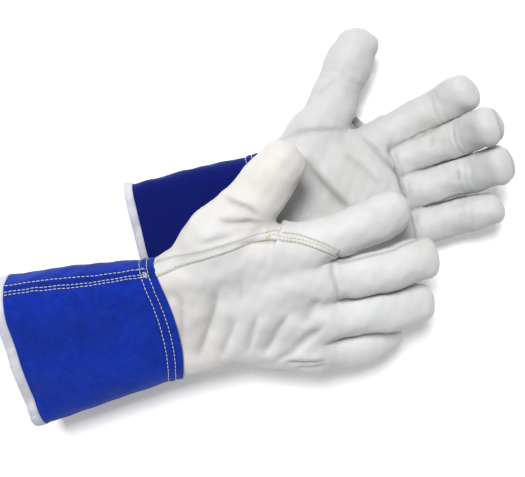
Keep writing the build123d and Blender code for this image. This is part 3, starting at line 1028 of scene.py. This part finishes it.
def add_tape(glove, tree):
    """The strip over the back seam, with a stitched row along each edge."""
    path = smooth_path(TAPE_PATH, 1.2)
    path = path[path[:, 0] > -10]
    along = np.gradient(path, axis=0)
    along /= np.linalg.norm(along, axis=1)[:, None]
    across = np.stack([-along[:, 1], along[:, 0]], 1)
    half = np.interp(path[:, 0], [0, 60], [4.4, 3.1])[:, None]
    offsets = np.array([-1.0, -0.93, -0.72, -0.4, 0.0, 0.4, 0.72, 0.93, 1.0])
    rise = np.array([-0.1, 0.55, 0.62, 0.86, 0.9, 0.86, 0.62, 0.55, -0.1])
    rows, ups = [], []
    for offset in offsets:
        p, u = drop_on(tree, glove, path + across * half * offset, 1)
        rows.append(p)
        ups.append(u)
    rows, ups = np.array(rows), np.array(ups)
    for _ in range(6):  # the strip spans small dips in the leather
        rows[:, 1:-1] = 0.5 * rows[:, 1:-1] + 0.25 * (rows[:, 2:] + rows[:, :-2])
        ups[:, 1:-1] = 0.5 * ups[:, 1:-1] + 0.25 * (ups[:, 2:] + ups[:, :-2])
    ups /= np.linalg.norm(ups, axis=2)[..., None]
    puff = 1 + 0.12 * np.sin(np.arange(len(path)) * 2.2)
    top = rows + ups * (rise[:, None, None] * puff[None, :, None]) * MM
    bottom = rows - ups * 0.5 * MM
    world = np.concatenate([top, bottom[::-1]])
    ring, count = world.shape[:2]
    points = world.transpose(1, 0, 2).reshape(-1, 3)
    if glove.pose["mirrored"]:
        points[:, 2] = np.maximum(points[:, 2], 0.0003)
    faces = []
    for i in range(count - 1):
        for k in range(ring):
            a, b = i * ring + k, i * ring + (k + 1) % ring
            faces.append((a, a + ring, b + ring, b))
    faces.append(tuple(range(ring)))
    faces.append(tuple((count - 1) * ring + k for k in reversed(range(ring))))
    if glove.pose["mirrored"]:
        faces = [f[::-1] for f in faces]
    # painted shade along the strip's edges, where it meets the leather, and on its underside
    crease = np.tile(np.concatenate([[0.5, 0.2, 0.3, 0.05, 0.05, 0.05, 0.3, 0.2, 0.5], [0.4] * 9]), count)
    obj = mesh_object(f"{glove.name}_seam_tape_strip", points, faces, None, {"crease": crease})
    place(obj, f"{glove.name}_hand_body", f"{glove.name}_seam_tape", "hand_leather", LEATHER_LOOK)
    ahead = path[:, 0] > KNOT_X
    stitches = [(top[2], ups[2]), (top[6], ups[6]), (top[4][ahead], ups[4][ahead])]
    knot = np.argmin(np.abs(path[:, 0] - KNOT_X))
    for k in (knot - 1, knot, knot + 1):  # short stitches across, one over the other
        stitches.append((top[1:5, k], ups[1:5, k]))
    add_stitches(glove, f"{glove.name}_tape_thread", stitches, 2.6, 1.9, 0.36, HAND_THREAD, above=0.2)


def add_stitches(glove, name, rows, spacing, length, radius, look, closed=False, node=None, above=0.12):
    all_points, all_faces = [], []
    for path, ups in rows:
        here, tangents = evenly(path / MM, spacing, closed)
        lengths = np.concatenate([[0], np.cumsum(np.linalg.norm(np.diff(path, axis=0), axis=1))]) / MM
        at = (np.arange(len(here)) + 0.5) / len(here) * lengths[-1]
        up = np.stack([np.interp(at, lengths, ups[:, k]) for k in range(3)], 1)
        up -= (up * tangents).sum(1)[:, None] * tangents
        up /= np.linalg.norm(up, axis=1)[:, None]
        jitter = np.random.default_rng(len(here)).normal(0, 0.08, (len(here), 1)) * np.cross(up, tangents)
        points, faces = capsule_chain(here + up * above + jitter, tangents, up, length, radius)
        start = sum(len(p) for p in all_points)
        all_points.append(points)
        all_faces += [tuple(i + start for i in f) for f in faces]
    points = np.vstack(all_points) * MM
    points[:, 2] = np.maximum(points[:, 2], 0.0001)
    obj = mesh_object(name, points, all_faces)
    place(obj, f"{glove.name}_hand_body", node, "thread", look)
    return obj


# ---------------------------------------------------------------------------------------------- cuffs
RING = 168  # points round a cuff


def cuff_ring(sections, x):
    """One section of a cuff at x, as even points round it: from the middle of the thumb side over the back."""
    section = [float(value[0]) for value in rounded_quad(sections, np.array([x]))]
    low, high, palm_far, palm_near, back_far, back_near, radius = section
    corners = np.array([(high, palm_near), (high, back_near), (low, back_far), (low, palm_far)])
    outline = []
    for k in range(4):
        before, here, after = corners[k - 1], corners[k], corners[(k + 1) % 4]
        a = (before - here) / np.linalg.norm(before - here)
        b = (after - here) / np.linalg.norm(after - here)
        opening = np.arccos(np.clip(a @ b, -1, 1))
        r = radius * 1.15
        longest = 0.49 * min(np.linalg.norm(before - here), np.linalg.norm(after - here))
        reach = min(r / np.tan(opening / 2), longest)
        for t in np.linspace(0, 1, 14):
            p, q = here + a * reach, here + b * reach
            outline.append((1 - t) ** 2 * p + 2 * t * (1 - t) * (0.82 * here + 0.09 * (p + q)) + t * t * q)
    outline = np.array(outline)
    start = np.array([high, (palm_near + back_near) / 2])
    outline = np.vstack([start, outline[14:], outline[:14], start])
    lengths = np.concatenate([[0], np.cumsum(np.linalg.norm(np.diff(outline, axis=0), axis=1))])
    at = np.linspace(0, lengths[-1], RING, endpoint=False)
    return np.stack([np.interp(at, lengths, outline[:, k]) for k in range(2)], 1)


def cuff_end(side, y):
    """The X of the cuff's edge over the hand."""
    if side == "left":
        return -5.4 + 0.1 * y
    return 6.0 - np.where(y > -12.0, 8.5, 14.0) * ((y + 12.0) / 54.0) ** 2


class Cuff:
    """A cuff's outer face: point (t, u), t from the mouth 0 to the wrist 1, u round it from the thumb side."""

    def __init__(self, glove):
        self.glove = glove
        self.sections = CUFFS[glove.name]
        mouth_x, slant = glove.pose["mouth"]
        self.rows = 74
        t = np.linspace(0, 1, self.rows)
        u = np.arange(RING) / RING
        grid = np.zeros((self.rows, RING, 3))
        guess = cuff_ring(self.sections, mouth_x)
        for i, share in enumerate(t):
            start = mouth_x - guess[:, 0] * np.tan(radians(slant))
            end = cuff_end(glove.name, cuff_ring(self.sections, 0.0)[:, 0])
            x = start + (end - start) * share
            middle = x.mean()
            ring = cuff_ring(self.sections, middle)
            ahead = cuff_ring(self.sections, middle + 1.0)
            grid[i, :, 0] = x
            grid[i, :, 1:] = ring + (ahead - ring) * (x - middle)[:, None]
        self.grid = self.dented(grid, t, u)
        self.t, self.u = t, u

    def dented(self, grid, t, u):
        """Slack leather: long dents that grow towards the mouth."""
        flat = grid.reshape(-1, 3)
        out = np.cross(np.gradient(grid, axis=0), np.gradient(grid, axis=1)).reshape(-1, 3)
        centre = np.array([0, -6.0, 1.0])
        out /= np.linalg.norm(out, axis=1)[:, None]
        flip = ((flat - centre)[:, 1:] * out[:, 1:]).sum(1).mean() < 0
        out = -out if flip else out
        slack = np.repeat(1 - t, RING)
        seed = 11 if self.glove.name == "right" else 12
        size = 1.3 if self.glove.name == "right" else 0.7
        height = (0.3 + size * slack) * waves(flat * [0.55, 1, 1], 46.0, seed) * 0.8 + 0.16 * waves(flat, 12.0, 13)
        mouth = np.repeat(np.exp(-((t * 12) ** 2)), RING)
        height += mouth * 0.5 * waves(flat, 17.0, 14)
        height *= np.repeat(1 - 0.75 * smooth_step(t, 0.82, 1.0), RING)
        return (flat + out * height[:, None]).reshape(grid.shape)

    def normals(self, grid):
        wrapped = np.concatenate([grid[:, -1:], grid, grid[:, :1]], axis=1)
        out = np.cross(np.gradient(wrapped, axis=0), np.gradient(wrapped, axis=1))[:, 1:-1]
        out /= np.maximum(np.linalg.norm(out, axis=2), 1e-9)[..., None]
        centre = grid.mean(axis=1, keepdims=True)
        if ((grid - centre) * out).sum() < 0:
            out = -out
        return out

    def at(self, t, u, grid=None):
        """Points on the face at fractions t and u."""
        grid = self.grid if grid is None else grid
        i = np.clip(np.asarray(t) * (self.rows - 1), 0, self.rows - 1.001)
        j = (np.asarray(u) % 1) * RING
        i0, j0 = i.astype(int), j.astype(int) % RING
        fi, fj = (i - i0)[:, None], (j - np.floor(j))[:, None]
        j1 = (j0 + 1) % RING
        return (
            grid[i0, j0] * (1 - fi) * (1 - fj)
            + grid[i0 + 1, j0] * fi * (1 - fj)
            + grid[i0, j1] * (1 - fi) * fj
            + grid[i0 + 1, j1] * fi * fj
        )


def closed_tube(loops):
    """A closed surface from rings joined one to the next and the last to the first: points and quads."""
    count, size = len(loops), len(loops[0])
    points = np.concatenate(loops)
    faces = []
    for i in range(count):
        j = (i + 1) % count
        for k in range(size):
            m = (k + 1) % size
            faces.append((i * size + k, i * size + m, j * size + m, j * size + k))
    return points, faces


def face_outward(points, faces):
    """Faces turned so that their normals point out of the closed shape."""
    tri = np.array([(f[0], f[1], f[2]) for f in faces] + [(f[0], f[2], f[3]) for f in faces if len(f) == 4])
    a, b, c = (points[tri[:, k]] for k in range(3))
    volume = (a * np.cross(b, c)).sum()
    return faces if volume > 0 else [f[::-1] for f in faces]


SEAM_ROWS = (0.047, 0.067, 0.076)  # the side seam's three rows of thread, as shares of the way round


def add_cuff(glove):
    side = glove.name
    cuff = Cuff(glove)
    out = cuff.normals(cuff.grid)
    seams = [k for k in SEAM_ROWS]
    lap = 0.0565  # the lapped edge of the side seam, between the single and the double row
    t, u = cuff.t[:, None], cuff.u[None, :]
    grid = cuff.grid.copy()
    # painted shade: the side seam, its lapped edge and the stitch rows are painted darker
    crease = np.zeros(grid.shape[:2])
    arc = 260.0  # about the way round, in millimetres
    lapped = np.clip((lap - u) * arc / 0.8, -1, 1) * np.exp(-(((u - lap) * arc / 5.0) ** 2))
    height = 0.35 * lapped
    for k in seams:
        height = height - 0.4 * np.exp(-(((u - k) * arc / 1.1) ** 2))
        crease = crease + 0.5 * np.exp(-(((u - k) * arc / 1.3) ** 2))
    crease = crease + 0.75 * np.exp(-(((u - lap) * arc / 0.9) ** 2))
    for row in STITCH_BACK:
        away = (1 - t) * 115.0 - row
        height = height - 0.45 * np.exp(-((away / 1.1) ** 2))
        crease = crease + 0.5 * np.exp(-((away / 1.3) ** 2)) + 0 * u
    height = height + 0.5 * np.exp(-((((1 - t) * 115.0 - 8.0) / 2.2) ** 2))
    grid = grid + out * np.broadcast_to(height, crease.shape)[..., None]
    wall = 1.5
    inner = grid - out * wall
    # the lip at both ends is rounded
    lips = [
        grid[0] - out[0] * wall * 0.5 - np.array([0.5, 0, 0]),
        grid[-1] - out[-1] * wall * 0.5 + np.array([0.55, 0, 0]),
    ]
    loops = list(grid) + [lips[1]] + list(inner[::-1]) + [lips[0]]
    shade = np.concatenate([crease.ravel(), np.zeros(RING), np.zeros(inner.shape[0] * RING), np.zeros(RING)])
    points, faces = closed_tube(loops)
    world = glove.world(points)
    world[:, 2] = np.maximum(world[:, 2], 0.0006)
    # painted shade: the cuff's palm side, below the middle of its height, is painted darker
    painted_palm_side_shade = 0.9 * (1 - smooth_step(points[:, 2], -8.0, 8.0))
    looks = {"crease": np.clip(shade, 0, 0.9), "painted_palm_side_shade": painted_palm_side_shade}
    obj = mesh_object(f"{side}_cuff_suede", world, face_outward(world, faces), None, looks)
    place(obj, f"{side}_hand_body", f"{side}_cuff", "cuff_leather", SUEDE)
    cuff.sewn = grid
    cuff.out = out
    add_binding(glove, grid, out, wall)
    add_cuff_threads(glove, cuff, grid, out)
    return cuff


STITCH_BACK = (5.2, 10.6)  # the two rows that hold the cuff to the hand, behind the cuff's edge


def add_binding(glove, grid, out, wall):
    """The tape folded over the edge of the mouth: a rounded channel with a stepped overlap."""
    reach = 5.8
    per_row = np.linalg.norm(grid[1, 0] - grid[0, 0])
    step = max(1, int(round(reach / per_row)))
    along = grid[0] - grid[3]
    along /= np.linalg.norm(along, axis=1)[:, None]
    edge, normal = grid[0], out[0]
    back, back_normal = grid[step], out[step]
    puff = 1 + 0.10 * waves(edge, 9.0, 21)[:, None] + 0.06 * waves(edge, 3.5, 22)[:, None]
    face = 0.85 * puff
    hem = 0.45
    loops = [
        back + back_normal * 0.05,
        back + back_normal * hem,
        0.75 * back + 0.25 * edge + normal * face * 0.95,
        0.35 * back + 0.65 * edge + normal * face * 1.1,
        edge + normal * face,
        edge + along * 0.75 + normal * 0.45,
        edge + along * 1.0 - normal * wall * 0.5,
        edge + along * 0.75 - normal * (wall + 0.3),
        edge - normal * (wall + face * 0.8),
        0.6 * back + 0.4 * edge - normal * (wall + 0.7),
        back - back_normal * (wall + hem),
        back - back_normal * (wall + 0.05),
        0.5 * back + 0.5 * edge - normal * (wall * 0.55),
        0.5 * back + 0.5 * edge - normal * (wall * 0.45),
    ]
    points, faces = closed_tube(loops)
    world = glove.world(points)
    world[:, 2] = np.maximum(world[:, 2], 0.0002)
    side = glove.name
    obj = mesh_object(f"{side}_cuff_binding_tape", world, face_outward(world, faces))
    place(obj, f"{side}_hand_body", f"{side}_cuff_binding", "binding_tape", BINDING)
    # the tape's end is lapped over its start near the little finger's side
    span = np.arange(int(0.40 * RING), int(0.40 * RING) + 9)
    lap = (  # each row of the lap round the edge: where it runs, which way it lifts, which way it is thick
        (back, normal, normal),
        (0.5 * back + 0.5 * edge + normal * face, normal, normal),
        (edge + normal * face, normal, normal),
        (edge + along * 1.05 + normal * 0.4, normal, (along + normal) * 0.7),
        (edge + along * 1.1 - normal * wall, -normal, (along - normal) * 0.7),
        (edge - normal * (wall + 0.8), -normal, -normal),
        (0.5 * back + 0.5 * edge - normal * (wall + 0.9), -normal, -normal),
    )
    rows = np.array([(row + 0.35 * lift)[span] for row, lift, _ in lap])
    under = np.array([r - 0.5 * thick[span] for r, (_, _, thick) in zip(rows, lap)])
    points, faces = sheet_shell(rows, under)
    world = glove.world(points)
    world[:, 2] = np.maximum(world[:, 2], 0.0001)
    obj = mesh_object(f"{side}_binding_overlap", world, face_outward(world, faces))
    place(obj, f"{side}_hand_body", None, "binding_tape", BINDING)


def sheet_shell(top, bottom):
    """A closed thin block between two grids of points."""
    rows, columns = top.shape[:2]
    points = np.concatenate([top.reshape(-1, 3), bottom.reshape(-1, 3)])
    n = rows * columns
    faces = []
    for i in range(rows - 1):
        for k in range(columns - 1):
            a = i * columns + k
            faces.append((a, a + 1, a + 1 + columns, a + columns))
            faces.append((a + n, a + columns + n, a + 1 + columns + n, a + 1 + n))
    border = [(0, k) for k in range(columns)] + [(i, columns - 1) for i in range(1, rows)]
    border += [(rows - 1, k) for k in range(columns - 2, -1, -1)] + [(i, 0) for i in range(rows - 2, 0, -1)]
    ring = [i * columns + k for i, k in border]
    for a, b in zip(ring, ring[1:] + ring[:1]):
        faces.append((b, a, a + n, b + n))
    return points, faces


def add_cuff_threads(glove, cuff, grid, out):
    side = glove.name
    rows = []
    for back in STITCH_BACK:
        t = np.full(RING, 1 - back / 115.0)
        rows.append((glove.world(cuff.at(t, cuff.u, grid)), cuff.at(t, cuff.u, out) @ glove.turn.T))
    node = f"{side}_cuff_stitching"
    add_stitches(glove, f"{node}_thread", rows, 3.1, 2.5, 0.27, CUFF_THREAD, True, node)
    rows = []
    t = np.linspace(0.055, 0.935, 90)
    for k in SEAM_ROWS:
        u = np.full(len(t), k) + 0.0015 * np.sin(t * 9 + k * 40)
        rows.append((glove.world(cuff.at(t, u, grid)), cuff.at(t, u, out) @ glove.turn.T))
    # the zigzag tack that locks the seam's end
    u = 0.062 + 0.016 * np.sign(np.sin(np.linspace(0.1, 6 * pi - 0.1, 7)))
    t = np.linspace(0.925, 0.945, 7)
    rows.append((glove.world(cuff.at(t, u, grid)), cuff.at(t, u, out) @ glove.turn.T))
    add_stitches(glove, f"{side}_cuff_seam_thread", rows, 3.1, 2.5, 0.27, CUFF_THREAD)


# ---------------------------------------------------------------------------------------------- building
PITCH = 1.5
for side in ("left", "right"):
    glove = Glove(side)
    data = build_hand(glove)
    add_hand_pieces(glove, data)
    add_liners(glove)
    add_tape(glove, surface_tree(data))
    add_cuff(glove)


# ---------------------------------------------------------------------------------------------- stage
def add_floor():
    material, tree, shader = new_material("pale_floor", 0.9, 0.2)
    tone = ramp(tree, noise(tree, 3.0, 2.0), (0.3, (0.93, 0.93, 0.93)), (0.7, (0.95, 0.95, 0.95)))
    tree.links.new(tone, shader.inputs["Base Color"])
    shader.inputs["Emission Color"].default_value = (1, 1, 1, 1)
    shader.inputs["Emission Strength"].default_value = 0.15
    floor = mesh_object("floor", [(-3, -3, 0), (3, -3, 0), (3, 3, 0), (-3, 3, 0)], [(0, 1, 2, 3)])
    floor.data.materials.append(material)


def add_light(name, place_at, size, power, look_at=(0, 0, 0.03)):
    lamp = bpy.data.lights.new(name, "AREA")
    lamp.shape, lamp.size, lamp.energy = "SQUARE", size, power
    obj = bpy.data.objects.new(name, lamp)
    obj.location = place_at
    obj.rotation_euler = (Vector(look_at) - Vector(place_at)).to_track_quat("-Z", "Y").to_euler()
    bpy.context.scene.collection.objects.link(obj)


def add_camera():
    """Straight over the pair."""
    data = bpy.data.cameras.new("camera")
    data.sensor_width, data.lens = 36.0, 51.8
    data.clip_start = 0.01
    camera = bpy.data.objects.new("camera", data)
    camera.location = (-0.0004, -0.00925, 0.600)
    camera.rotation_euler = (0, 0, 0)
    bpy.context.scene.collection.objects.link(camera)
    bpy.context.scene.camera = camera


add_floor()
add_light("key", (-0.40, 0.85, 2.2), 0.9, 70.0)
add_light("fill", (0.9, -0.5, 1.2), 1.2, 2.0)
add_camera()
world = bpy.data.worlds.new("studio")
world.use_nodes = True
world.node_tree.nodes["Background"].inputs["Color"].default_value = (1.0, 1.0, 1.0, 1)
world.node_tree.nodes["Background"].inputs["Strength"].default_value = 0.27
bpy.context.scene.world = world
bpy.context.scene.view_settings.view_transform = "Standard"
